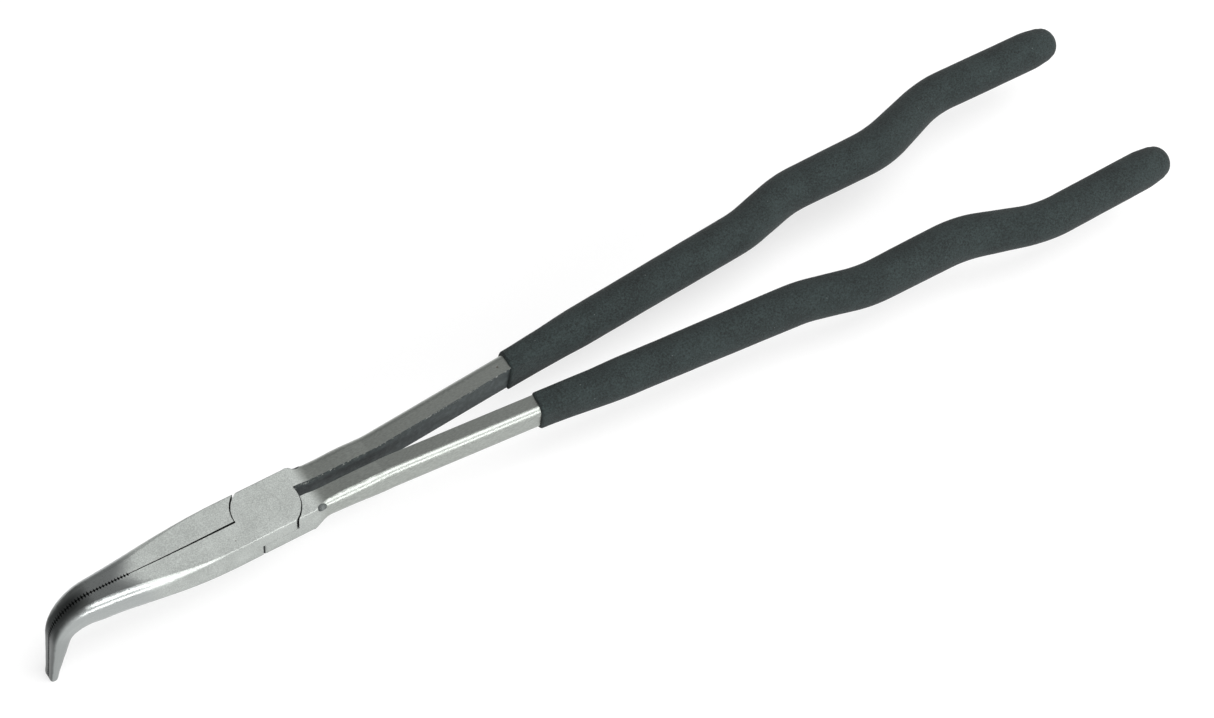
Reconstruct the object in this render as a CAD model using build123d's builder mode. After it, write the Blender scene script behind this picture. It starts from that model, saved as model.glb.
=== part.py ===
from build123d import *
import os
from math import cos, radians, sin, tan

# Long-reach bent-nose pliers with slip-on foam grips, closed.
# The frame: +X runs towards the nose, +Z is the pivot axis, and the origin is on that axis,
# half way through the joint.  Lever A carries the +Y jaw and the -Y handle, and its half of the
# lap joint is the upper one.  Lever B is the other way about.

# ---- joint (the lapped head) -------------------------------------------------------------
head_thickness = 9.4
head_width = 18.4
head_edge_round = 0.45
disc_radius = 10.5
lap_clearance = 0.1  # between the two lap faces
front_recess_gap = 0.25  # between a disc and the jaw in front of it, at the middle plane
rear_recess_gap = 0.12  # between a disc and the shank behind it
recess_offset = 0.5  # of a recess's centre from the pivot, so its gap opens towards the side
head_rear_x = -11.0
head_front_x = 16.0
head_surplus = 1.0  # of the joint's layers, before they are cut to the head's outline

# ---- rivet -------------------------------------------------------------------------------
rivet_pin_radius = 3.0
rivet_head_radius = 4.4
rivet_sink_angle = 90.0
rivet_running_clearance = 0.08  # radial, in lever B only

# ---- jaws --------------------------------------------------------------------------------
jaw_gap = 0.25  # between the closed jaws where they are toothed
relief_gap = 0.85  # between the closed jaws at the pivot
relief_end_x = 46.0  # the relief runs out here and the teeth start
bend_start_x = 59.1
bend_outer_radius = 14.5
bend_angle = 84.0
limb_length = 19.8
hump_height = 0.8  # of the jaws' top, just before the bend, above the joint's face
tip_half_width = 2.3
tip_thickness = 2.1
tip_corner = 0.8
jaw_sections = 26
tooth_pitch = 1.0
tooth_width = 0.62
tooth_depth = 0.6
bend_tooth_depth = 0.95  # from the start of the bend to its end
tooth_inner_radius = 4.0  # the grooves reach this far in towards the bend's centre
past_middle = 1.0  # how far a jaw's blank and its cutters reach past the middle plane
past_outside = 1.0  # how far the tooth cutters reach past the bend's outer side

# ---- handles -----------------------------------------------------------------------------
slot_width = 4.1  # between the two shanks behind the joint
shank_start_x = -37.0
shank_width = 6.9
shank_height = 9.1
shank_round = 2.6  # the two outer long edges
shank_drop = 1.1  # middle of the shank below the middle of the joint
shank_bend_x = -39.0
shoulder_sections = 20
run_out_x = -14.9  # the dimple where the cutter of the shank's round ran out
run_out_y = 9.6
run_out_z = 4.7
run_out_radius = 2.2
splay_angle = 4.43  # of each handle, as far as the first jog
jog_1_x = -185.7
jog_1_length = 20.9
jog_1_width = 5.55
jog_2_x = -244.5
jog_2_length = 27.1
jog_2_width = 9.0
jog_radius = 45.0
tail_angle = 1.1  # the grips' tails lean in again
handle_end_x = -324.3
tang_end_x = -306.0

# ---- grips -------------------------------------------------------------------------------
grip_mouth_x = -89.0
grip_drop = 1.6  # middle of the grip below the middle of the joint
grip_lip_round = 0.5
grip_end_round = 4.4
grip_sections = 24
grip_mouth_radius = 6.15
grip_front_radius = 6.5
grip_front_length = 32.0  # from the mouth to where the front radius is reached
grip_middle_radius = 6.85
grip_swell_radius = 7.3
grip_tail_radius = 6.6
grip_end_radius = 5.5
grip_end_taper = 12.0  # the last stretch narrows to the end radius

# ---- worked out from the above -----------------------------------------------------------
half_thickness = head_thickness / 2
half_width = head_width / 2
slot_half = slot_width / 2
shank_middle_y = slot_half + shank_width / 2
shank_top = shank_height / 2 - shank_drop
shank_bottom = -shank_height / 2 - shank_drop
shank_outside = slot_half + shank_width
bend_centre_z = half_thickness + hump_height - bend_outer_radius
jaw_length = bend_start_x + radians(bend_angle) * bend_outer_radius + limb_length
jaw_stations = [
    # share of the way to the tip, half width, thickness, corner radius, rise of the top
    (0.0, half_width, head_thickness, head_edge_round, 0.0),
    (0.09, 9.05, 9.35, 0.75, 0.0),
    (0.19, 8.75, 9.2, 1.6, 0.15 * hump_height),
    (0.31, 8.0, 9.0, 2.7, 0.55 * hump_height),
    (0.42, 7.0, 8.8, 3.1, hump_height),
    (0.52, 6.2, 8.5, 2.9, hump_height),
    (0.64, 5.05, 7.6, 2.5, hump_height),
    (0.76, 3.75, 6.2, 1.9, hump_height),
    (0.88, 3.0, 4.2, 1.5, hump_height),
    (1.0, tip_half_width, tip_thickness, tip_corner, hump_height),
]
shoulder_stations = [
    # share of the way from the head to the shank, share of the head's section that is left,
    # waist in the outer side, rise of the underside, corner radius
    (0.0, 1.0, 0.0, 0.0, head_edge_round),
    (0.04, 0.95, 0.0, 0.05, head_edge_round),
    (0.085, 0.8, 0.1, 0.6, 0.8),
    (0.15, 0.52, 0.2, 1.6, 1.4),
    (0.22, 0.38, 0.3, 2.0, 2.0),
    (0.35, 0.32, 0.2, 1.7, 2.4),
    (0.5, 0.3, 0.05, 1.45, shank_round),
    (0.62, 0.28, -0.05, 1.25, shank_round),
    (0.75, 0.22, -0.1, 0.85, shank_round),
    (0.88, 0.1, -0.05, 0.35, shank_round),
    (1.0, 0.0, 0.0, 0.0, shank_round),
]


def seam_y(x):
    """Half the gap between the closed jaws at x."""
    fade = min(1.0, x / relief_end_x)
    return (relief_gap + (jaw_gap - relief_gap) * fade) / 2


def handle_corners():
    """Corners of a handle's middle line in plan, as (x, distance from the middle plane)."""
    first = shank_middle_y + tan(radians(splay_angle)) * (shank_bend_x - jog_1_x)
    second = first + jog_1_width
    third = second + jog_2_width
    jog_1_end = jog_1_x - jog_1_length
    jog_2_end = jog_2_x - jog_2_length
    end = third - tan(radians(tail_angle)) * (jog_2_end - handle_end_x)
    return [
        (shank_start_x, shank_middle_y),
        (shank_bend_x, shank_middle_y),
        (jog_1_x, first),
        (jog_1_end, second),
        (jog_2_x, second),
        (jog_2_end, third),
        (handle_end_x, end),
    ]


def handle_line(side, start_x, end_x, z):
    """A stretch of a handle's middle line at height z, on the given side of the middle plane."""
    corners = handle_corners()
    points = [(x, y) for x, y in corners if end_x < x < start_x]
    for x in (start_x, end_x):
        runs = zip(corners, corners[1:])
        ahead, behind = [run for run in runs if run[0][0] >= x >= run[1][0]][0]
        share = (ahead[0] - x) / (ahead[0] - behind[0])
        points.append((x, ahead[1] + share * (behind[1] - ahead[1])))
    points.sort(reverse=True)
    FilletPolyline(*[(x, side * y, z) for x, y in points], radius=jog_radius)


def smooth(points, at):
    """The value at one place on the smooth curve through (place, value) points."""
    slopes = []
    for i in range(len(points)):
        before = points[max(i - 1, 0)]
        after = points[min(i + 1, len(points) - 1)]
        slopes.append((after[1] - before[1]) / (after[0] - before[0]))
    i = max(n for n in range(len(points) - 1) if points[n][0] <= at or n == 0)
    (x0, y0), (x1, y1) = points[i], points[i + 1]
    span = x1 - x0
    t = min(1.0, (at - x0) / span)
    return (
        (2 * t**3 - 3 * t**2 + 1) * y0
        + (t**3 - 2 * t**2 + t) * span * slopes[i]
        + (3 * t**2 - 2 * t**3) * y1
        + (t**3 - t**2) * span * slopes[i + 1]
    )


def jaw_plane(along):
    """The plane across a jaw at a distance along it from the pivot: straight, bend, then limb."""
    bend_length = radians(bend_angle) * bend_outer_radius
    if along <= bend_start_x:
        return Plane((along, 0, bend_centre_z), x_dir=(0, 1, 0), z_dir=(1, 0, 0))
    if along <= bend_start_x + bend_length:
        return bend_plane((along - bend_start_x) / bend_length * bend_angle, 0)
    return bend_plane(bend_angle, along - bend_start_x - bend_length)


def jaw_section(side, share):
    """The section of one jaw's blank, a share of the way from the joint to the tip."""
    along = head_front_x + share * (jaw_length - head_front_x)
    half, thickness, corner, rise = [
        smooth([(station[0], station[column]) for station in jaw_stations], share)
        for column in range(1, 5)
    ]
    top = half_thickness - bend_centre_z + rise
    return flat_backed_section(
        jaw_plane(along), side, -past_middle, half, top, top - thickness, corner
    )


def bend_plane(angle, beyond):
    """A plane across the jaw, turned about the bend's centre and moved on along the limb."""
    turn = radians(angle)
    along = Vector(cos(turn), 0, -sin(turn))
    centre = Vector(bend_start_x, 0, bend_centre_z)
    return Plane(centre + along * beyond, x_dir=(0, 1, 0), z_dir=along)


def flat_backed_section(plane, side, inner, outer, top, bottom, corner):
    """A section with its flat back towards the middle plane and its two outer corners rounded."""
    with BuildSketch(plane) as section:
        with Locations((side * (inner + outer) / 2, (top + bottom) / 2)):
            Rectangle(outer - inner, top - bottom)
        fillet(section.vertices().group_by(Axis.X)[-1 if side > 0 else 0], corner)
    return section.sketch


def joint_half(side):
    """One half of the lapped joint: its disc, and the roots of its jaw and its shank."""
    lap_plane = Plane.XY.offset(side * lap_clearance / 2)
    outside = half_width + head_surplus
    deep = half_thickness + head_surplus
    for layer in (side, -side):
        with BuildSketch(lap_plane) as front:
            with BuildLine():
                Polyline(
                    (0, side * seam_y(0)),
                    (head_front_x, side * seam_y(head_front_x)),
                    (head_front_x, side * outside),
                    (0, side * outside),
                    close=True,
                )
            make_face()
            if layer != side:
                with Locations((0, side * recess_offset)):
                    Circle(disc_radius + front_recess_gap, mode=Mode.SUBTRACT)
        with BuildSketch(lap_plane) as rear:
            with Locations((head_rear_x / 2, -side * (slot_half + outside) / 2)):
                Rectangle(-head_rear_x, outside - slot_half)
            if layer != side:
                with Locations((0, -side * recess_offset)):
                    Circle(disc_radius + rear_recess_gap, mode=Mode.SUBTRACT)
        extrude(front.sketch, amount=layer * deep)
        extrude(rear.sketch, amount=layer * deep)
    with BuildSketch(lap_plane) as disc:
        Circle(disc_radius)
    extrude(disc.sketch, amount=side * deep)
    with BuildSketch(Plane.YZ.offset(head_rear_x)) as outline:
        RectangleRounded(head_width, head_thickness, head_edge_round)
    extrude(outline.sketch, amount=head_front_x - head_rear_x, mode=Mode.INTERSECT)


def jaw(side):
    """A jaw from the joint, over the bend, to its tip, with its gap to the other jaw."""
    loft([jaw_section(side, i / jaw_sections) for i in range(jaw_sections + 1)])
    tip_x = bend_start_x + bend_outer_radius + limb_length
    with BuildSketch(Plane.XY) as waste:
        with BuildLine():
            Polyline(
                (head_front_x, side * seam_y(head_front_x)),
                (relief_end_x, side * seam_y(relief_end_x)),
                (tip_x, side * seam_y(tip_x)),
                (tip_x, -side * 2 * past_middle),
                (head_front_x, -side * 2 * past_middle),
                close=True,
            )
        make_face()
    deep = bend_outer_radius + limb_length + head_thickness
    extrude(waste.sketch, amount=deep, both=True, mode=Mode.SUBTRACT)


def tooth_planes():
    """A plane across the jaw at each tooth groove, with the groove's depth."""
    straight = int((bend_start_x - relief_end_x) / tooth_pitch)
    for i in range(straight):
        x = relief_end_x + (i + 0.5) * tooth_pitch
        yield jaw_plane(x), tooth_depth
    around = int(radians(bend_angle) * bend_outer_radius / tooth_pitch)
    for i in range(around):
        yield bend_plane((i + 0.5) * bend_angle / around, 0), bend_tooth_depth
    down = int(limb_length / tooth_pitch)
    for i in range(down):
        yield bend_plane(bend_angle, (i + 0.5) * tooth_pitch), tooth_depth


def teeth(side):
    """The grooves across a jaw's face."""
    grooves = []
    for plane, depth in tooth_planes():
        deep = seam_y(relief_end_x) + depth
        half_base = tooth_width / 2 * (deep + past_middle) / depth
        groove_plane = Plane(plane.origin, x_dir=plane.z_dir, z_dir=plane.y_dir)
        with BuildSketch(groove_plane.offset(tooth_inner_radius)) as groove:
            with BuildLine():
                Polyline(
                    (-half_base, -side * past_middle),
                    (half_base, -side * past_middle),
                    (0, side * deep),
                    close=True,
                )
            make_face()
        grooves.extend(groove.sketch.faces())
    through = bend_outer_radius - tooth_inner_radius + past_outside
    extrude(grooves, amount=through, mode=Mode.SUBTRACT)


def shoulder_section(side, share):
    """The section of a shank's blend into the joint, a share of the way from the head."""
    head_share, waist, rise, corner = [
        smooth([(station[0], station[column]) for station in shoulder_stations], share)
        for column in range(1, 5)
    ]
    outside = shank_outside + head_share * (half_width - shank_outside) - waist
    top = shank_top + head_share * (half_thickness - shank_top)
    bottom = shank_bottom - head_share * (half_thickness + shank_bottom) + rise
    plane = Plane.YZ.offset(head_rear_x + share * (shank_start_x - head_rear_x))
    return flat_backed_section(plane, side, slot_half, outside, top, bottom, corner)


def handle_bar(side):
    """A shank, its blend into the joint, and its tang."""
    sections = [shoulder_section(side, i / shoulder_sections) for i in range(shoulder_sections + 1)]
    loft(sections)
    with BuildLine() as path:
        handle_line(side, shank_start_x, tang_end_x, -shank_drop)
    sweep(sections[-1], path=path.line)
    with Locations((run_out_x, side * run_out_y, run_out_z)):
        Sphere(run_out_radius, mode=Mode.SUBTRACT)


with BuildPart() as jaw_lever_a:
    joint_half(1)
    jaw(1)
    teeth(1)
    handle_bar(-1)
    with Locations(Plane.XY.offset(half_thickness)):
        CounterSinkHole(rivet_pin_radius, rivet_head_radius, counter_sink_angle=rivet_sink_angle)

with BuildPart() as jaw_lever_b:
    joint_half(-1)
    jaw(-1)
    teeth(-1)
    handle_bar(1)
    with Locations(Plane.XY.offset(-half_thickness).rotated((180, 0, 0))):
        CounterSinkHole(
            rivet_pin_radius + rivet_running_clearance,
            rivet_head_radius + rivet_running_clearance,
            counter_sink_angle=rivet_sink_angle,
        )

with BuildPart() as pivot_rivet:
    sink_depth = (rivet_head_radius - rivet_pin_radius) / tan(radians(rivet_sink_angle / 2))
    with BuildSketch(Plane.XZ):
        with BuildLine():
            Polyline(
                (0, half_thickness),
                (rivet_head_radius, half_thickness),
                (rivet_pin_radius, half_thickness - sink_depth),
                (rivet_pin_radius, sink_depth - half_thickness),
                (rivet_head_radius, -half_thickness),
                (0, -half_thickness),
                close=True,
            )
        make_face()
    revolve(axis=Axis.Z)


def grip_radius(x):
    """The grip's radius at x, between the named ones."""
    named = [
        (grip_mouth_x, grip_mouth_radius),
        (grip_mouth_x - grip_front_length, grip_front_radius),
        (jog_1_x, grip_middle_radius),
        (jog_2_x, grip_swell_radius),
        (jog_2_x - jog_2_length, grip_tail_radius),
        (handle_end_x + grip_end_taper, grip_tail_radius),
        (handle_end_x, grip_end_radius),
    ]
    for (x0, r0), (x1, r1) in zip(named, named[1:]):
        if x >= x1:
            return r0 + (r1 - r0) * (x0 - x) / (x0 - x1)
    return grip_end_radius


def grip(side, lever):
    """A foam sleeve over a tang, round in section, with a rolled lip and a domed end."""
    with BuildLine() as path:
        handle_line(side, grip_mouth_x, handle_end_x, -grip_drop)
    sections = []
    for i in range(grip_sections + 1):
        share = i / grip_sections
        centre = path.line @ share
        with BuildSketch(Plane(centre, x_dir=(0, 0, 1), z_dir=path.line % share)) as section:
            Circle(grip_radius(centre.X))
        sections.append(section.sketch)
    loft(sections)
    fillet(faces().filter_by(GeomType.PLANE).sort_by(Axis.X)[0].edges(), grip_end_round)
    fillet(faces().filter_by(GeomType.PLANE).sort_by(Axis.X)[-1].edges(), grip_lip_round)
    add(lever.part, mode=Mode.SUBTRACT)


with BuildPart() as grip_a:
    grip(-1, jaw_lever_a)

with BuildPart() as grip_b:
    grip(1, jaw_lever_b)

os.makedirs("parts", exist_ok=True)
jaw_lever_a.part.label = "jaw_lever_a"
jaw_lever_b.part.label = "jaw_lever_b"
pivot_rivet.part.label = "pivot_rivet"
grip_a.part.label = "grip_a"
grip_b.part.label = "grip_b"
for piece in (jaw_lever_a, jaw_lever_b, pivot_rivet, grip_a, grip_b):
    export_step(piece.part, f"parts/{piece.part.label}.step")
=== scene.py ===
"""Long-reach bent-nose pliers: ground steel levers, a flush rivet and slip-on foam grips.

The frame is in metres: +X runs towards the nose, +Z is the pivot axis and the origin is on that
axis, half way through the joint.  Lever A has the +Y jaw and the -Y handle, lever B the others.
"""

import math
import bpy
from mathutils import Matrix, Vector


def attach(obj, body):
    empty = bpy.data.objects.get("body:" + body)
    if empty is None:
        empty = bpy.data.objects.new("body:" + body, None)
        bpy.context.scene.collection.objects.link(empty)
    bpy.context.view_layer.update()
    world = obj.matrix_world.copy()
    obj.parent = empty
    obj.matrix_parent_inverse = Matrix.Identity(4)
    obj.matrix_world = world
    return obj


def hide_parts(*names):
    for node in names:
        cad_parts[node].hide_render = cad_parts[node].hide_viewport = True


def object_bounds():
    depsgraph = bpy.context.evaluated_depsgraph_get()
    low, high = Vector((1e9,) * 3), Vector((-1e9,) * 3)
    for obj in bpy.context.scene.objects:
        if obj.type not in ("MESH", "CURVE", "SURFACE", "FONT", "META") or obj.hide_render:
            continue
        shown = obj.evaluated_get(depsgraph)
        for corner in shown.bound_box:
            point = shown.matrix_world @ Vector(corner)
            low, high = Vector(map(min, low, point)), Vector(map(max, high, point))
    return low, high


bl_info = {
    "name": "Long-reach bent-nose pliers",
    "version": (1, 0, 0),
    "blender": (4, 5, 0),
    "location": "3D View > Sidebar > Pliers",
    "description": "Finishes the steel levers and the rivet, makes the foam grips, sets the stage",
    "category": "Object",
}

import bmesh
import bpy
from bpy.props import FloatProperty, FloatVectorProperty, IntProperty, PointerProperty
from mathutils import Matrix, Vector, noise

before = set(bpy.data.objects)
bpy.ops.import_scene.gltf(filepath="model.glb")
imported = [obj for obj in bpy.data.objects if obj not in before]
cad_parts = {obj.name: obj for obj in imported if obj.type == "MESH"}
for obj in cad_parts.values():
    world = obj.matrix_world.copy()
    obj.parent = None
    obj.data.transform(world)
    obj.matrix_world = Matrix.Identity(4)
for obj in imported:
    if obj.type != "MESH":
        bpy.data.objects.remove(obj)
cad_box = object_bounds()

MM = 0.001


# ---- settings ----------------------------------------------------------------------------


def colour(name, description, default):
    """A colour setting, in linear light."""
    return FloatVectorProperty(
        name=name, description=description, subtype="COLOR", size=3, min=0, max=1, default=default
    )


def length(name, description, default_mm):
    """A length setting."""
    return FloatProperty(
        name=name,
        description=description,
        unit="LENGTH",
        subtype="DISTANCE",
        default=default_mm * MM,
    )


def share(name, description, default):
    """A setting from 0 to 1."""
    return FloatProperty(
        name=name, description=description, subtype="FACTOR", min=0, max=1, default=default
    )


def number(name, description, default):
    """A setting with no unit."""
    return FloatProperty(name=name, description=description, default=default)


class PliersSteelSettings(bpy.types.PropertyGroup):
    """The steel of the levers and the rivet."""

    satin_colour: colour("Satin steel", "Blasted faces of the head", (0.62, 0.65, 0.625))
    # Painted shade: the head's sides keep this share of the satin's brightness.
    painted_side_shade: share("Side shade", "Brightness kept on the head's sides", 0.74)
    # Partly polish, partly painted reflection: darker than the satin, standing for the dark room
    # the nose mirrors.
    polished_and_reflection_colour: colour("Polished steel", "Nose, past the flat jaws", (0.38, 0.4, 0.395))
    brushed_colour: colour("Brushed steel", "Tops and sides of the shanks", (0.352, 0.372, 0.349))
    # Partly forging scale, partly painted shade between the handles.
    scale_and_shade_colour: colour("Forging scale", "Inner faces of the shanks", (0.045, 0.055, 0.056))
    # Painted shade on the faces in the joint and between the jaws; also the colour of the real fine
    # line round the rivet.
    seam_shade_and_line_colour: colour("Seams", "Faces in the joint and between the jaws", (0.05, 0.054, 0.054))
    satin_roughness: share("Satin roughness", "Roughness of the head", 0.56)
    polished_roughness: share("Polished roughness", "Roughness of the nose", 0.29)
    bend_roughness: share("Bend roughness", "Roughness of the nose's bend and its tip", 0.38)
    brushed_roughness: share("Brushed roughness", "Roughness of the shanks", 0.34)
    nose_start: length("Nose polish starts", "Distance from the pivot along the middle", 43.5)
    nose_full: length("Nose polish full", "Distance from the pivot along the middle", 53.0)
    shank_start: length("Shank brushing starts", "Distance behind the pivot", 11.6)
    shank_full: length("Shank brushing full", "Distance behind the pivot", 17.0)
    bend_start: length("Bend starts", "Distance from the pivot to the nose's bend", 59.1)
    bend_middle: length("Bend's middle", "Height of the bend's middle above the joint's", -9.0)
    rivet_radius: length("Rivet radius", "Radius of the rivet's flush head", 4.4)


class PliersGripSettings(bpy.types.PropertyGroup):
    """The foam grips."""

    foam_colour: colour("Foam", "Closed-cell foam", (0.0145, 0.021, 0.0207))
    fleck_colour: colour("Flecks", "Dust and pale cells in the foam", (0.12, 0.14, 0.138))
    mouth: length("Mouth", "Distance of the mouth behind the pivot", 89.0)
    lean_a: length("Lean of grip A", "How far its mouth reaches forward at the +Y side", 1.3)
    lean_b: length("Lean of grip B", "How far its mouth reaches forward at the +Y side", 0.4)
    mouth_radius: length("Mouth radius", "Radius at the mouth", 6.15)
    front_radius: length("Front radius", "Radius once clear of the mouth", 6.5)
    middle_radius: length("Middle radius", "Radius at the first jog", 6.85)
    swell_radius: length("Swell radius", "Radius at the second jog", 7.3)
    tail_radius: length("Tail radius", "Radius after the second jog", 6.6)
    end_radius: length("End radius", "Radius where the dome starts", 5.5)
    drop: length("Drop", "Middle of the grips below the middle of the joint", 1.6)
    bend_radius: length("Bend radius", "Radius of the handle's bends", 45.0)
    unevenness: length("Unevenness", "Depth of the foam's soft unevenness", 0.09)
    sides: IntProperty(name="Sides", description="Faces round a grip", default=56, min=12)


class PliersStageSettings(bpy.types.PropertyGroup):
    """The floor, the lights and the camera."""

    floor_colour: colour("Floor", "Plain pale floor", (0.42, 0.42, 0.42))
    floor_size: length("Floor size", "Width of the floor", 8000.0)
    floor_glow: number("Floor glow", "Lifts the floor's shown colour to white", 0.62)
    sky_light: number("Sky", "Strength of the plain surroundings", 0.9)
    sky_dark: number("Dark side", "Strength of their unlit side", 0.12)
    camera_lens: number("Lens", "Focal length in millimetres", 97.434)


# ---- node building -----------------------------------------------------------------------


class Recipe:
    """The node tree of one material, with short calls for what the finishes share."""

    def __init__(self, name):
        self.material = bpy.data.materials.new(name)
        self.material.use_nodes = True
        self.tree = self.material.node_tree
        self.tree.nodes.clear()
        self.output = self.node("ShaderNodeOutputMaterial")

    def node(self, kind, inputs=None, **settings):
        made = self.tree.nodes.new(kind)
        for key, value in settings.items():
            setattr(made, key, value)
        for key, value in (inputs or {}).items():
            self.feed(made.inputs[key], value)
        return made

    def feed(self, socket, value):
        if isinstance(value, bpy.types.NodeSocket):
            self.tree.links.new(value, socket)
        else:
            socket.default_value = value

    def math(self, operation, *values):
        made = self.node("ShaderNodeMath", operation=operation)
        for socket, value in zip(made.inputs, values):
            self.feed(socket, value)
        return made.outputs[0]

    def times(self, product, *others):
        """All the values multiplied."""
        for value in others:
            product = self.math("MULTIPLY", product, value)
        return product

    def step(self, value, low, high):
        """0 below low, 1 above high and smooth between; low may be the greater."""
        made = self.node(
            "ShaderNodeMapRange",
            {"Value": value, "From Min": low, "From Max": high},
            interpolation_type="SMOOTHSTEP",
        )
        return made.outputs[0]

    def blend(self, factor, below, above):
        made = self.node("ShaderNodeMix", data_type="RGBA")
        self.feed(made.inputs[0], factor)
        self.feed(made.inputs[6], tint(below))
        self.feed(made.inputs[7], tint(above))
        return made.outputs[2]

    def between(self, factor, below, above):
        made = self.node("ShaderNodeMix", data_type="FLOAT")
        self.feed(made.inputs[0], factor)
        self.feed(made.inputs[2], below)
        self.feed(made.inputs[3], above)
        return made.outputs[0]

    def mottle(self, value, edges, colour, shades):
        """The colour in its first shade where the value is low and its second where it is high."""
        low, high = (scaled(colour, factor) for factor in shades)
        return self.blend(self.step(value, *edges), low, high)

    def noise(self, place, scale, detail=3.0, roughness=0.55, stretch=None, offset=0.0):
        """Noise of one value from 0 to 1; place is in millimetres, and stretch scales its axes."""
        if stretch or offset:
            moved = {"Scale": stretch or (1, 1, 1), "Location": (offset, offset, offset)}
            place = self.node("ShaderNodeMapping", {"Vector": place, **moved}).outputs[0]
        made = self.node(
            "ShaderNodeTexNoise",
            {"Vector": place, "Scale": scale, "Detail": detail, "Roughness": roughness},
        )
        return made.outputs[0]

    def shade(self, tone, share_kept):
        """The tone with only that share of its brightness."""
        return self.node("ShaderNodeHueSaturation", {"Value": share_kept, "Color": tone}).outputs[0]

    def bump(self, height, depth):
        """A bump of that depth in metres."""
        return self.node("ShaderNodeBump", {"Height": height, "Distance": depth}).outputs[0]

    def distance(self, place, centre):
        """How far the place is from the centre."""
        made = self.node("ShaderNodeVectorMath", operation="DISTANCE")
        self.feed(made.inputs[0], place)
        self.feed(made.inputs[1], centre)
        return made.outputs["Value"]

    def place(self):
        """Object coordinates in millimetres, their three parts, and the parts of the normal."""
        source = self.node("ShaderNodeTexCoord")
        larger = self.node("ShaderNodeVectorMath", operation="SCALE")
        self.feed(larger.inputs[0], source.outputs["Object"])
        self.feed(larger.inputs["Scale"], 1 / MM)
        parts = self.node("ShaderNodeSeparateXYZ", {0: larger.outputs[0]}).outputs
        normal = self.node("ShaderNodeSeparateXYZ", {0: source.outputs["Normal"]}).outputs
        return larger.outputs[0], parts, normal

    def finish(self, shader):
        """The finished material, with that shader as its surface."""
        self.feed(self.output.inputs[0], shader.outputs[0])
        return self.material


def tint(value):
    """An RGBA value from three numbers; sockets pass through."""
    if isinstance(value, bpy.types.NodeSocket):
        return value
    return (*value, 1.0)


def scaled(colour, factor):
    """The colour made darker or brighter."""
    return [min(1.0, part * factor) for part in colour]


# ---- steel -------------------------------------------------------------------------------

# Each pair says where a zone of the finish starts and where it is full, for the recipe's step.
# Places are in millimetres, and "middle" is the plane between the jaws.
JAW_FACES_FROM_MIDDLE = (1.0, 0.9)
JOINT_FACES_FROM_MIDDLE = (9.0, 8.8)
JOINT_FACES_X = (15.0, 13.0)
JOINT_FACES_BEHIND = (11.1, 10.9)
SCALE_BEHIND = (10.2, 10.5)
SHOULDER_X = (26.0, 16.0)
LIMB_ABOVE_BEND = (8.0, 1.0)
LIMB_END_Z = (-2.0, -12.0)
BEND_X = (57.0, 66.0)
BEND_FROM_MIDDLE = (3.8, 1.2)
BEND_Z = (-8.0, -1.0)
BEND_ROUGH_X = (60.0, 69.0)
SCALE_FLECKS_Z = (2.4, 3.3)
HEAD_TOP_Z = (4.3, 4.45)
RIVET_LINE = (0.16, 0.04)  # distance from the rivet's edge

# The same for how a face lies, from the parts of its normal.
WALL = (0.6, 0.3)
SIDEWAYS = (0.8, 0.3)
SLOPING = (0.2, 0.45)
INWARD = (-0.05, -0.3)
FORWARD = (0.5, 0.9)

# How much of the tone below it a zone covers or keeps.
RIVET_LINE_COVER = 0.13
# Painted shade on the head's sloping faces.
PAINTED_SHOULDER_SHADE = 0.55
# Painted shade on the limb below the bend.
LIMB_PAINTED_SHADE = 0.18
# Painted dark reflection on the nose's front and round its bend.
FRONT_PAINTED_REFLECTION = (0.88, 0.64)  # from the bend to the tip
BEND_PAINTED_REFLECTION = 0.7
MARKS_COVER = 0.7

# Painted reflection of the unlit room, laid on the nose's front and bend.
PAINTED_DARK_REFLECTION = (0.01, 0.012, 0.012)  # the unlit room, as the polished nose mirrors it
# Painted shade for the hollow of each dimple.
DIMPLE_PAINTED_SHADE = (0.12, 0.13, 0.128)
MARK_TONE = (0.09, 0.065, 0.045)

NEARLY_NONE = 0.001  # keeps the bend's distance above nothing
NOSE_SLANT = 0.8  # of the polish's edge, back for each millimetre from the middle
NOSE_WANDER = 4.0  # width of the polish's ragged edge
SCALE_WANDER = 0.5  # of the scale's ragged edge, in parts of the normal
SCALE_METALLIC = 0.4
SCALE_ROUGHNESS = 0.6
SEAM_ROUGHNESS = 0.65
DIMPLE_ROUGHNESS = 0.55
GRAIN_ROUGHNESS = 0.12  # how far the grain changes the roughness
RIVET_SMOOTHER = 0.06  # than the head round it
DIMPLE_CENTRE = (-14.9, 9.6, 4.7)  # beside each shank, where the cutter of its round ran out
DIMPLE_EDGE = (2.3, 2.22)
# Heights of the grain, the brushing and the scale, in bumps.
STEEL_BUMP = 0.03 * MM
GRAIN_HEIGHT = 0.35
BRUSHING_HEIGHT = 0.5
SCALE_HEIGHT = 1.4
BRUSHED_LENGTHWAYS = (0.9, 2.6, 2.6)
SATIN_CLOUD = 0.25  # share of the clouds in the satin's mottle; the rest is the grain
# Small dark marks of handling, as (centre, radius).
MARKS = (
    ((13.7, 5.9, 4.5), 0.32),
    ((-87.0, -8.6, 3.5), 0.35),
    ((-88.2, -4.4, 2.6), 0.9),
    ((-77.9, 13.4, -0.6), 0.5),
    ((-76.9, 13.3, 0.3), 0.3),
)
MARK_EDGE = (1.7, 1.2)  # in radii


def rivet_line(recipe, parts, radius):
    """1 on the fine line round the rivet's flush head."""
    across = recipe.math("POWER", parts["X"], 2.0)
    along = recipe.math("POWER", parts["Y"], 2.0)
    away = recipe.math("SQRT", recipe.math("ADD", across, along))
    off = recipe.math("ABSOLUTE", recipe.math("SUBTRACT", away, radius / MM))
    return recipe.step(off, *RIVET_LINE)


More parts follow.
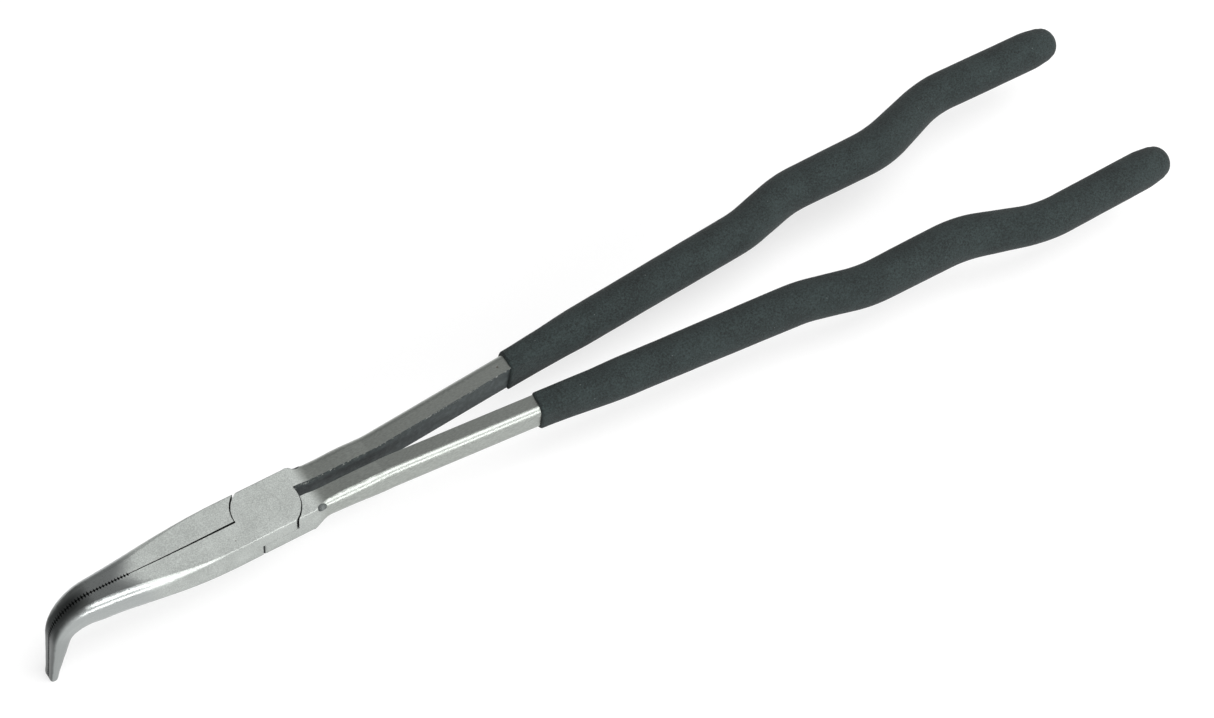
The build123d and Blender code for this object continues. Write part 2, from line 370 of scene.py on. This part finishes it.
def satin(recipe, place, settings):
    """Colour and grain of the blasted faces: fine, without direction, a little cloudy."""
    cloud = recipe.noise(place, scale=0.16, detail=4)
    grain = recipe.noise(place, scale=2.6, detail=2, roughness=0.7)
    mixed = recipe.times(grain, 1 - SATIN_CLOUD)
    mixed = recipe.math("MULTIPLY_ADD", cloud, SATIN_CLOUD, mixed)
    return recipe.mottle(mixed, (0.3, 0.7), settings.satin_colour, shades=(0.78, 1.2)), grain


class LeverSteel(Recipe):
    """The levers' finish, with painted shade and reflection, zone by zone from the nose to the
    tang.
    """

    def __init__(self, settings):
        super().__init__("lever_steel")
        self.settings = settings
        self.at, self.parts, self.normal = self.place()
        self.behind = self.times(self.parts["X"], -1.0)
        self.from_middle = self.math("ABSOLUTE", self.parts["Y"])
        self.level = self.math("ABSOLUTE", self.normal["Z"])
        self.wander = self.noise(self.at, scale=0.9, detail=4, roughness=0.65)
        self.satin, self.grain = satin(self, self.at, settings)
        self.brushing = self.noise(
            self.at, scale=1.0, detail=5, roughness=0.7, stretch=BRUSHED_LENGTHWAYS
        )
        self.crust = self.noise(self.at, scale=0.5, detail=5, roughness=0.7, offset=3.0)
        self.nose = self.polish()
        self.shank = self.step(self.behind, settings.shank_start / MM, settings.shank_full / MM)
        self.scale = self.unground()
        self.seam_shade = self.hidden_faces()
        self.dimple = self.run_out()
        self.marks = self.handling()

    def facing_out(self):
        """How far a face looks away from the middle of the nose's bend, from -1 to 1."""
        ahead = self.math("SUBTRACT", self.parts["X"], self.settings.bend_start / MM)
        ahead = self.math("MAXIMUM", ahead, 0.0)
        above = self.math("SUBTRACT", self.parts["Z"], self.settings.bend_middle / MM)
        above = self.math("MAXIMUM", above, NEARLY_NONE)
        away = self.math("SQRT", self.math("MULTIPLY_ADD", ahead, ahead, self.times(above, above)))
        along = self.times(self.normal["X"], ahead)
        along = self.math("MULTIPLY_ADD", self.normal["Z"], above, along)
        return self.math("DIVIDE", along, away)

    def polish(self):
        """1 on the nose, from a ragged edge that slants back along the head's sides; it carries the
        polish and the nose's painted dark reflection.
        """
        edge = self.math("MULTIPLY_ADD", self.from_middle, NOSE_SLANT, self.parts["X"])
        edge = self.math("MULTIPLY_ADD", self.wander, NOSE_WANDER, edge)
        start, full = self.settings.nose_start / MM, self.settings.nose_full / MM
        return self.step(edge, start + NOSE_WANDER / 2, full + NOSE_WANDER / 2)

    def unground(self):
        """1 on the unground inner faces of the shanks, which get forging scale and painted shade.
        """
        outward = self.times(self.normal["Y"], self.math("SIGN", self.parts["Y"]))
        ragged = self.math("MULTIPLY_ADD", self.wander, SCALE_WANDER, outward)
        return self.times(self.step(ragged, *INWARD), self.step(self.behind, *SCALE_BEHIND))

    def hidden_faces(self):
        """1 on the walls inside the joint and between the jaws, which get painted shade."""
        along_nose = self.math("ABSOLUTE", self.facing_out())
        jaws = self.times(
            self.step(self.from_middle, *JAW_FACES_FROM_MIDDLE), self.step(along_nose, *WALL)
        )
        joint = self.times(
            self.step(self.from_middle, *JOINT_FACES_FROM_MIDDLE),
            self.step(self.level, *WALL),
            self.step(self.parts["X"], *JOINT_FACES_X),
            self.step(self.behind, *JOINT_FACES_BEHIND),
        )
        return self.math("MAXIMUM", jaws, joint)

    def run_out(self):
        """1 in the dimple beside each shank, which gets painted shade."""
        mirrored = self.node(
            "ShaderNodeCombineXYZ", {0: self.parts["X"], 1: self.from_middle, 2: self.parts["Z"]}
        )
        return self.step(self.distance(mirrored.outputs[0], DIMPLE_CENTRE), *DIMPLE_EDGE)

    def handling(self):
        """1 on the small ragged marks."""
        marks = 0.0
        for centre, radius in MARKS:
            away = self.distance(self.at, centre)
            ragged = self.math("MULTIPLY_ADD", self.wander, radius, away)
            spot = self.step(ragged, *(radius * share for share in MARK_EDGE))
            marks = self.math("MAXIMUM", marks, spot)
        return marks

    def ground_tone(self):
        """Colour of the satin head and the brushed shanks, with painted shade on the head's sides
        and sloping faces.
        """
        settings = self.settings
        # Painted shade: faces turned sideways get a darker copy of the satin.
        sides = self.step(self.level, *SIDEWAYS)
        tone = self.blend(sides, self.satin, self.shade(self.satin, settings.painted_side_shade))
        # Painted shade: sloping faces from 16 mm ahead of the pivot backwards get a darker copy of
        # the satin.
        sloping = self.times(self.level, self.math("ABSOLUTE", self.normal["Y"]))
        shoulder_shade_mask = self.times(self.step(sloping, *SLOPING), self.step(self.parts["X"], *SHOULDER_X))
        tone = self.blend(shoulder_shade_mask, tone, self.shade(self.satin, PAINTED_SHOULDER_SHADE))
        edges, shades = (0.25, 0.75), (0.78, 1.18)
        brushed = self.mottle(self.brushing, edges, settings.brushed_colour, shades)
        return self.blend(self.shank, tone, brushed)

    def nose_tone(self, tone):
        """The tone with the polished nose over it, with painted shade on the limb and painted dark
        reflection round the bend and along the front.
        """
        # Polish with painted dark reflection over the nose.
        tone = self.blend(self.nose, tone, self.settings.polished_and_reflection_colour)
        middle = self.settings.bend_middle / MM
        # Painted shade: the limb below the bend is darkened towards black.
        limb = self.step(self.parts["Z"], *(middle + above for above in LIMB_ABOVE_BEND))
        tone = self.blend(self.times(limb, LIMB_PAINTED_SHADE), tone, (0.0, 0.0, 0.0))
        # Painted reflection: the nose's forward faces take the unlit room's colour.
        front = self.times(self.nose, self.step(self.normal["X"], *FORWARD))
        cover = self.between(self.step(self.parts["Z"], *LIMB_END_Z), *FRONT_PAINTED_REFLECTION)
        tone = self.blend(self.times(front, cover), tone, PAINTED_DARK_REFLECTION)
        # Painted reflection: the bend's lower middle takes the unlit room's colour.
        bend = self.times(
            self.step(self.parts["X"], *BEND_X),
            self.step(self.from_middle, *BEND_FROM_MIDDLE),
            self.step(self.parts["Z"], *BEND_Z),
        )
        return self.blend(self.times(bend, BEND_PAINTED_REFLECTION), tone, PAINTED_DARK_REFLECTION)

    def scale_tone(self):
        """Colour of the forging scale, dark also as painted shade between the handles, with bare
        flecks along its upper edge.
        """
        settings = self.settings
        tone = self.mottle(self.crust, (0.4, 0.75), settings.scale_and_shade_colour, shades=(1.0, 1.9))
        patches = self.noise(self.at, scale=1.1, detail=4, roughness=0.75, offset=7.0)
        bare = self.step(patches, 0.55, 0.6)
        bare = self.times(bare, self.step(self.parts["Z"], *SCALE_FLECKS_Z))
        return self.blend(bare, tone, scaled(settings.brushed_colour, 1.2))

    def tone(self):
        """The whole colour."""
        tone = self.nose_tone(self.ground_tone())
        # Forging scale and painted shade on the shanks' inner faces.
        tone = self.blend(self.scale, tone, self.scale_tone())
        # Painted shade on the walls inside the joint and between the jaws.
        tone = self.blend(self.seam_shade, tone, self.settings.seam_shade_and_line_colour)
        # Painted shade in the dimples.
        tone = self.blend(self.dimple, tone, DIMPLE_PAINTED_SHADE)
        line = rivet_line(self, self.parts, self.settings.rivet_radius)
        line = self.times(line, self.step(self.parts["Z"], *HEAD_TOP_Z), RIVET_LINE_COVER)
        tone = self.blend(line, tone, self.settings.seam_shade_and_line_colour)
        return self.blend(self.times(self.marks, MARKS_COVER), tone, MARK_TONE)

    def roughness(self):
        settings = self.settings
        rough = self.between(self.shank, settings.satin_roughness, settings.brushed_roughness)
        rough = self.between(self.nose, rough, settings.polished_roughness)
        bend = self.step(self.parts["X"], *BEND_ROUGH_X)
        rough = self.between(bend, rough, settings.bend_roughness)
        rough = self.between(self.scale, rough, SCALE_ROUGHNESS)
        rough = self.between(self.seam_shade, rough, SEAM_ROUGHNESS)
        rough = self.between(self.dimple, rough, DIMPLE_ROUGHNESS)
        grain = self.math("SUBTRACT", self.grain, 0.5)
        return self.math("MULTIPLY_ADD", grain, GRAIN_ROUGHNESS, rough)

    def relief(self):
        """Height of the grain, the brushing, the scale and the marks, in bumps."""
        unpolished = self.math("SUBTRACT", 1.0, self.nose)
        grain = self.times(self.grain, self.times(unpolished, GRAIN_HEIGHT))
        brushing = self.times(self.brushing, self.times(self.shank, BRUSHING_HEIGHT))
        height = self.math("ADD", grain, brushing)
        scale = self.times(self.scale, self.crust)
        height = self.math("MULTIPLY_ADD", scale, SCALE_HEIGHT, height)
        return self.math("SUBTRACT", height, self.marks)

    def made(self):
        """The finished material."""
        inputs = {
            "Base Color": self.tone(),
            "Metallic": self.between(self.scale, 1.0, SCALE_METALLIC),
            "Roughness": self.roughness(),
            "Normal": self.bump(self.relief(), STEEL_BUMP),
        }
        return self.finish(self.node("ShaderNodeBsdfPrincipled", inputs))


def rivet_steel(settings):
    """The rivet's finish: ground flush with the head, with a faint line round it."""
    recipe = Recipe("rivet_steel")
    place, parts, _ = recipe.place()
    tone, grain = satin(recipe, place, settings)
    line = recipe.times(rivet_line(recipe, parts, settings.rivet_radius), RIVET_LINE_COVER)
    rough = settings.satin_roughness - RIVET_SMOOTHER
    inputs = {
        "Base Color": recipe.blend(line, tone, settings.seam_shade_and_line_colour),
        "Metallic": 1.0,
        "Roughness": recipe.math("MULTIPLY_ADD", grain, GRAIN_ROUGHNESS, rough),
        "Normal": recipe.bump(recipe.times(grain, GRAIN_HEIGHT), STEEL_BUMP),
    }
    return recipe.finish(recipe.node("ShaderNodeBsdfPrincipled", inputs))


def dress(name, material):
    """Gives a CAD node its material."""
    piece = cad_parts[name]
    piece.data.materials.clear()
    piece.data.materials.append(material)
    return piece


class PLIERS_OT_finish_levers(bpy.types.Operator):
    """Gives both levers their ground, brushed and polished steel, with painted shade and reflection
    """

    bl_idname = "pliers.finish_levers"
    bl_label = "Finish the levers"

    def execute(self, context):
        material = LeverSteel(context.scene.pliers_steel).made()
        for name in ("jaw_lever_a", "jaw_lever_b"):
            dress(name, material)
        return {"FINISHED"}


class PLIERS_OT_finish_rivet(bpy.types.Operator):
    """Gives the rivet its flush, blasted steel"""

    bl_idname = "pliers.finish_rivet"
    bl_label = "Finish the rivet"

    def execute(self, context):
        dress("pivot_rivet", rivet_steel(context.scene.pliers_steel))
        return {"FINISHED"}


# ---- grips -------------------------------------------------------------------------------

# Corners of a handle's middle line in plan, in millimetres: x, and distance from the middle.
HANDLE_CORNERS = (
    (-88.0, 9.3),
    (-185.7, 16.87),
    (-206.6, 22.42),
    (-244.5, 22.42),
    (-271.6, 31.42),
    (-324.3, 30.4),
)
RING_STEP = 1.0 * MM
LIP_ROUND = 0.8 * MM
LIP_RINGS = 8
MOUTH_DISH = 0.3 * MM  # depth of the mouth's face below its lip
END_ROUND = 4.4 * MM
END_RINGS = 14
END_TAPER = 12.0 * MM  # the tail narrows over this length
END_FLAT = 0.6 * MM
END_SLIMNESS = 1.15  # above 1, the dome is slimmer than a ball
END_MIDDLE = 0.35 * MM  # radius that the dome narrows to
END_SHRINK = 0.985  # of its last ring, which closes it
LEAN_LENGTH = 12.0 * MM
LEAN_WAY = Vector((0, 0.75, -0.66))
# The tang's section about the grip's middle line, and how the mouth is stretched over it.
TANG_HALF_WIDTH = 3.45 * MM
TANG_HALF_HEIGHT = 4.55 * MM
TANG_LIFT = 0.5 * MM
TANG_ROUND = 2.6 * MM  # of its outer edges
TANG_EDGE = 0.2 * MM  # of its inner edges
MOUTH_WALL = 1.1 * MM
MOUTH_BULGE = 0.45 * MM
MOUTH_LENGTH = 32.0 * MM
# The foam's surface: soft dents, and fine ripples that are shallower.
DENT_SIZE = 9 * MM
RIPPLE_SIZE = 1.3 * MM
SMOOTH_WITHIN = 3 * MM  # of the middle line, where the rings grow too small for dents
FOAM_BUMP = 0.12 * MM
PIT_DEPTH = 0.6  # in bumps
FOAM_CLOUD = 0.2  # share of the clouds in the foam's mottle; the rest is its cells


def rounded_line(corners, radius, step):
    """Points a step apart along straight runs joined by arcs of that radius."""
    line = [Vector(corners[0])]
    for before, corner, after in zip(corners, corners[1:], corners[2:]):
        before, corner, after = Vector(before), Vector(corner), Vector(after)
        back = (before - corner).normalized()
        ahead = (after - corner).normalized()
        half = back.angle(ahead) / 2
        reach = radius / math.tan(half)
        centre = corner + (back + ahead).normalized() * radius / math.sin(half)
        start = corner + back * reach - centre
        end = corner + ahead * reach - centre
        sweep = start.angle(end)
        pieces = max(2, math.ceil(sweep * radius / step))
        for i in range(pieces + 1):
            t = i / pieces
            arm = (start * math.sin((1 - t) * sweep) + end * math.sin(t * sweep)) / math.sin(sweep)
            line.append(centre + arm)
    line.append(Vector(corners[-1]))
    even = [line[0]]
    for a, b in zip(line, line[1:]):
        pieces = max(1, round((b - a).length / step))
        even.extend(a.lerp(b, (i + 1) / pieces) for i in range(pieces))
    return even


def smooth(t):
    """From 0 to 1 with level ends."""
    return 3 * t**2 - 2 * t**3


def eased(named, x):
    """The value at x on a smooth curve through (x, value) pairs, x falling."""
    if x >= named[0][0]:
        return named[0][1]
    for (x0, r0), (x1, r1) in zip(named, named[1:]):
        if x >= x1:
            return r0 + (r1 - r0) * smooth((x0 - x) / (x0 - x1))
    return named[-1][1]


def grip_rings(settings, side):
    """Rings of a grip from its mouth to its end, as (centre, direction, radius), in metres."""
    corners = [(x * MM, side * y * MM, 0.0) for x, y in HANDLE_CORNERS]
    whole = rounded_line(corners, settings.bend_radius, RING_STEP)
    line = [point for point in whole if point.x <= -settings.mouth]
    first_jog, swell, tail_start, end = (corners[i][0] for i in (1, 3, 4, 5))
    radii = [
        (-settings.mouth, settings.mouth_radius),
        (-settings.mouth - MOUTH_LENGTH, settings.front_radius),
        (first_jog, settings.middle_radius),
        (swell, settings.swell_radius),
        (tail_start, settings.tail_radius),
        (end + END_TAPER, settings.tail_radius),
        (end + END_FLAT, settings.end_radius),
    ]
    rings = []
    for before, here, after in zip([line[0]] + line, line, line[1:] + [line[-1]]):
        rings.append((here, (after - before).normalized(), eased(radii, here.x)))
    start, start_way, start_radius = rings[0]
    tail, tail_way, _ = rings[-1]
    body = [
        ring
        for ring in rings
        if (ring[0] - start).length > LIP_ROUND and (tail - ring[0]).length > END_ROUND
    ]
    face = start + start_way * MOUTH_DISH
    mouth = [(face, start_way, start_radius * share) for share in (0.3, 0.6)]
    for i in range(LIP_RINGS):
        turn = math.pi / 2 * i / (LIP_RINGS - 1)
        back = LIP_ROUND * (1 - math.cos(turn))
        radius = start_radius - LIP_ROUND * (1 - math.sin(turn))
        mouth.append((start + start_way * back, start_way, radius))
    dome = []
    for i in range(1, END_RINGS + 1):
        turn = math.pi / 2 * i / END_RINGS
        reach = END_ROUND * math.sin(turn) - END_ROUND
        base = eased(radii, tail.x - reach * tail_way.x)
        if i < END_RINGS:
            shrink = (base - END_MIDDLE) * (1 - math.cos(turn) ** END_SLIMNESS)
        else:
            shrink = base * END_SHRINK
        dome.append((tail + tail_way * reach, tail_way, base - shrink))
    return mouth + body + dome


def tang_reach(along, up, side):
    """Distance from the grip's middle line to the tang's surface, that way."""
    low, high = 0.0, 10 * MM
    corner = TANG_ROUND if along * side > 0 else TANG_EDGE
    for _ in range(20):
        reach = (low + high) / 2
        wide = abs(reach * along) - TANG_HALF_WIDTH + corner
        tall = abs(reach * up - TANG_LIFT) - TANG_HALF_HEIGHT + corner
        outside = math.hypot(max(wide, 0.0), max(tall, 0.0)) + min(max(wide, tall), 0.0) - corner
        low, high = (reach, high) if outside < 0 else (low, reach)
    return low


def sunk(point, side, unevenness):
    """How deep the foam's uneven surface lies at a point below the true round."""
    soft = noise.fractal(point / DENT_SIZE + Vector((0, side * 5, 0)), 1.0, 2.0, 3)
    fine = noise.noise(point / RIPPLE_SIZE)
    return max(0.0, unevenness * (0.55 - 0.45 * soft - 0.16 * fine))


def grip_mesh(name, settings, side, lean):
    """A foam grip as one closed mesh, softly uneven, whose mouth leans forward at one side."""
    mesh = bmesh.new()
    rings = grip_rings(settings, side)
    mouth = rings[0][0]
    loops = []
    for centre, way, radius in rings:
        across = way.cross(Vector((0, 0, 1))).normalized()
        lift = across.cross(way)
        from_mouth = (centre - mouth).length
        loose = smooth(min(1.0, from_mouth / MOUTH_LENGTH))
        leaning = lean * max(0.0, 1 - from_mouth / LEAN_LENGTH) ** 2
        loop = []
        for i in range(settings.sides):
            turn = 2 * math.pi * i / settings.sides
            out = across * math.cos(turn) + lift * math.sin(turn)
            stretched = min(
                tang_reach(math.cos(turn), math.sin(turn), side) + MOUTH_WALL,
                settings.mouth_radius + MOUTH_BULGE,
            )
            reach = radius * (loose + (1 - loose) * stretched / settings.mouth_radius)
            dent = sunk(centre + out * reach, side, settings.unevenness)
            point = centre + out * (reach - dent * min(1.0, reach / SMOOTH_WITHIN))
            point -= way * leaning * out.dot(LEAN_WAY) * reach / settings.front_radius
            loop.append(mesh.verts.new(point - Vector((0, 0, settings.drop))))
        loops.append(loop)
    for first, second in zip(loops, loops[1:]):
        for i in range(settings.sides):
            j = (i + 1) % settings.sides
            mesh.faces.new((first[i], first[j], second[j], second[i]))
    mesh.faces.new(list(reversed(loops[0])))
    mesh.faces.new(loops[-1])
    bmesh.ops.recalc_face_normals(mesh, faces=mesh.faces)
    for face in mesh.faces:
        face.smooth = True
    data = bpy.data.meshes.new(name)
    mesh.to_mesh(data)
    mesh.free()
    return data


def foam(settings):
    """Closed-cell foam: matt, finely pitted, with a few pale flecks."""
    recipe = Recipe("grip_foam")
    place, _, _ = recipe.place()
    cloud = recipe.noise(place, scale=0.12, detail=3)
    cells = recipe.noise(place, scale=1.7, detail=3, roughness=0.75)
    pores = recipe.node("ShaderNodeTexVoronoi", {"Vector": place, "Scale": 2.4})
    dust = recipe.node("ShaderNodeTexVoronoi", {"Vector": place, "Scale": 0.22})
    mixed = recipe.times(cells, 1 - FOAM_CLOUD)
    mixed = recipe.math("ADD", recipe.times(cloud, FOAM_CLOUD), mixed)
    tone = recipe.mottle(mixed, (0.32, 0.68), settings.foam_colour, shades=(0.4, 2.1))
    fleck = recipe.step(dust.outputs["Distance"], 0.045, 0.02)
    pit = recipe.step(pores.outputs["Distance"], 0.35, 0.05)
    inputs = {
        "Base Color": recipe.blend(fleck, tone, settings.fleck_colour),
        "Roughness": recipe.between(cells, 0.72, 0.95),
        "Specular IOR Level": 0.3,
        "Sheen Weight": 0.08,
        "Sheen Roughness": 0.5,
        "Normal": recipe.bump(recipe.math("MULTIPLY_ADD", pit, -PIT_DEPTH, cells), FOAM_BUMP),
    }
    return recipe.finish(recipe.node("ShaderNodeBsdfPrincipled", inputs))


class PLIERS_OT_make_grips(bpy.types.Operator):
    """Makes the two foam grips over the tangs"""

    bl_idname = "pliers.make_grips"
    bl_label = "Make the grips"

    def execute(self, context):
        settings = context.scene.pliers_grips
        material = foam(settings)
        for letter, side, lean in (("a", -1, settings.lean_a), ("b", 1, settings.lean_b)):
            data = grip_mesh(f"foam_grip_{letter}", settings, side, lean)
            data.materials.append(material)
            piece = bpy.data.objects.new(data.name, data)
            context.scene.collection.objects.link(piece)
            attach(piece, f"lever_{letter}")
            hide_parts(f"grip_{letter}")
        return {"FINISHED"}


# ---- stage -------------------------------------------------------------------------------

AIM = Vector((-0.1, 0, 0))
# The soft lights: name, way from the aim, distance, width, height and radiance.
SOFTBOXES = (
    ("side_softbox", Vector((-0.15, 0.83, 0.46)), 1.3, 2.4, 0.36, 4.4),
    ("top_softbox", Vector((-0.25, 0.22, 0.94)), 1.5, 1.6, 0.8, 3.4),
)
DARK_WAY = Vector((0.5, -0.55, 0.67))  # towards the unlit side of the surroundings
DARK_EDGE = (0.1, 0.95)
CAMERA_TARGET = Vector((-0.119395, 0.004516, 0.0))
CAMERA_DISTANCE = 1.024448
# In radians: round from +X, up from the floor, and the camera's own tilt.
CAMERA_AZIMUTH = 0.919912
CAMERA_HEIGHT = 0.929658
CAMERA_TILT = 0.083131


def floor_material(settings):
    """Pale floor that shows white where it is lit and keeps the shadow."""
    recipe = Recipe("pale_floor")
    path = recipe.node("ShaderNodeLightPath").outputs
    seen = recipe.math("MAXIMUM", path["Is Camera Ray"], path["Is Glossy Ray"])
    seen = recipe.math("MAXIMUM", seen, path["Is Transmission Ray"])
    matt = recipe.node("ShaderNodeBsdfDiffuse", {"Color": tint(settings.floor_colour)})
    glow = recipe.node(
        "ShaderNodeEmission",
        {"Color": (1, 1, 1, 1), "Strength": recipe.math("MULTIPLY", seen, settings.floor_glow)},
    )
    both = recipe.node("ShaderNodeAddShader", {0: matt.outputs[0], 1: glow.outputs[0]})
    return recipe.finish(both)


def surroundings(settings):
    """A plain pale room whose far side, ahead of the nose, is unlit."""
    world = bpy.data.worlds.new("surroundings")
    world.use_nodes = True
    tree = world.node_tree
    way = tree.nodes.new("ShaderNodeTexCoord")
    toward = tree.nodes.new("ShaderNodeVectorMath")
    toward.operation = "DOT_PRODUCT"
    toward.inputs[1].default_value = DARK_WAY.normalized()
    strength = tree.nodes.new("ShaderNodeMapRange")
    strength.interpolation_type = "SMOOTHSTEP"
    strength.inputs["From Min"].default_value = DARK_EDGE[0]
    strength.inputs["From Max"].default_value = DARK_EDGE[1]
    strength.inputs["To Min"].default_value = settings.sky_light
    strength.inputs["To Max"].default_value = settings.sky_dark
    backdrop = tree.nodes["Background"]
    backdrop.inputs["Color"].default_value = (1, 1, 1, 1)
    tree.links.new(way.outputs["Generated"], toward.inputs[0])
    tree.links.new(toward.outputs["Value"], strength.inputs["Value"])
    tree.links.new(strength.outputs[0], backdrop.inputs["Strength"])
    return world


def softbox(name, way, distance, wide, high, radiance):
    """A rectangular soft light, its long side level, facing the aim from that way."""
    data = bpy.data.lights.new(name, "AREA")
    data.shape = "RECTANGLE"
    data.size = wide
    data.size_y = high
    data.energy = radiance * math.pi * wide * high
    lamp = bpy.data.objects.new(name, data)
    bpy.context.scene.collection.objects.link(lamp)
    way = way.normalized()
    across = Vector((1, 0, 0))
    across = (across - way * across.dot(way)).normalized()
    turn = Matrix((across, way.cross(across), way)).transposed()
    lamp.matrix_world = Matrix.Translation(AIM + way * distance) @ turn.to_4x4()


def place_camera(settings):
    """A long lens above and ahead of the nose, a little tilted."""
    reach, rise = math.cos(CAMERA_HEIGHT), math.sin(CAMERA_HEIGHT)
    back = Vector((reach * math.cos(CAMERA_AZIMUTH), reach * math.sin(CAMERA_AZIMUTH), rise))
    level = Vector((0, 0, 1)).cross(back).normalized()
    upright = back.cross(level)
    right = level * math.cos(CAMERA_TILT) + upright * math.sin(CAMERA_TILT)
    up = upright * math.cos(CAMERA_TILT) - level * math.sin(CAMERA_TILT)
    data = bpy.data.cameras.new("camera")
    data.lens = settings.camera_lens
    data.sensor_width = 36.0
    data.clip_start = 0.01
    data.clip_end = 50.0
    camera = bpy.data.objects.new("camera", data)
    bpy.context.scene.collection.objects.link(camera)
    turn = Matrix((right, up, back)).transposed()
    camera.matrix_world = (
        Matrix.Translation(CAMERA_TARGET + back * CAMERA_DISTANCE) @ turn.to_4x4()
    )
    bpy.context.scene.camera = camera


class PLIERS_OT_set_stage(bpy.types.Operator):
    """Lays the pale floor under the tool and sets the soft lights and the camera"""

    bl_idname = "pliers.set_stage"
    bl_label = "Set the stage"

    def execute(self, context):
        settings = context.scene.pliers_stage
        low = cad_box[0][2]
        half = settings.floor_size / 2
        corners = [(x * half, y * half, low) for x, y in ((-1, -1), (1, -1), (1, 1), (-1, 1))]
        data = bpy.data.meshes.new("floor")
        data.from_pydata(corners, [], [(0, 1, 2, 3)])
        data.materials.append(floor_material(settings))
        floor = bpy.data.objects.new("floor", data)
        context.scene.collection.objects.link(floor)

        for light in SOFTBOXES:
            softbox(*light)
        context.scene.world = surroundings(settings)
        context.scene.view_settings.view_transform = "Standard"
        place_camera(settings)
        return {"FINISHED"}


# ---- add-on ------------------------------------------------------------------------------


class PLIERS_PT_build(bpy.types.Panel):
    """The steps that dress the pliers"""

    bl_idname = "PLIERS_PT_build"
    bl_label = "Pliers"
    bl_space_type = "VIEW_3D"
    bl_region_type = "UI"
    bl_category = "Pliers"

    def draw(self, context):
        for settings, operators in (
            (context.scene.pliers_steel, ("pliers.finish_levers", "pliers.finish_rivet")),
            (context.scene.pliers_grips, ("pliers.make_grips",)),
            (context.scene.pliers_stage, ("pliers.set_stage",)),
        ):
            box = self.layout.box()
            for name in settings.__annotations__:
                box.prop(settings, name)
            for operator in operators:
                box.operator(operator)


CLASSES = (
    PliersSteelSettings,
    PliersGripSettings,
    PliersStageSettings,
    PLIERS_OT_finish_levers,
    PLIERS_OT_finish_rivet,
    PLIERS_OT_make_grips,
    PLIERS_OT_set_stage,
    PLIERS_PT_build,
)


def register():
    for item in CLASSES:
        bpy.utils.register_class(item)
    bpy.types.Scene.pliers_steel = PointerProperty(type=PliersSteelSettings)
    bpy.types.Scene.pliers_grips = PointerProperty(type=PliersGripSettings)
    bpy.types.Scene.pliers_stage = PointerProperty(type=PliersStageSettings)


def unregister():
    del bpy.types.Scene.pliers_stage
    del bpy.types.Scene.pliers_grips
    del bpy.types.Scene.pliers_steel
    for item in reversed(CLASSES):
        bpy.utils.unregister_class(item)


def main():
    register()
    bpy.ops.pliers.finish_levers()
    bpy.ops.pliers.finish_rivet()
    bpy.ops.pliers.make_grips()
    bpy.ops.pliers.set_stage()


if __name__ == "__main__":
    main()
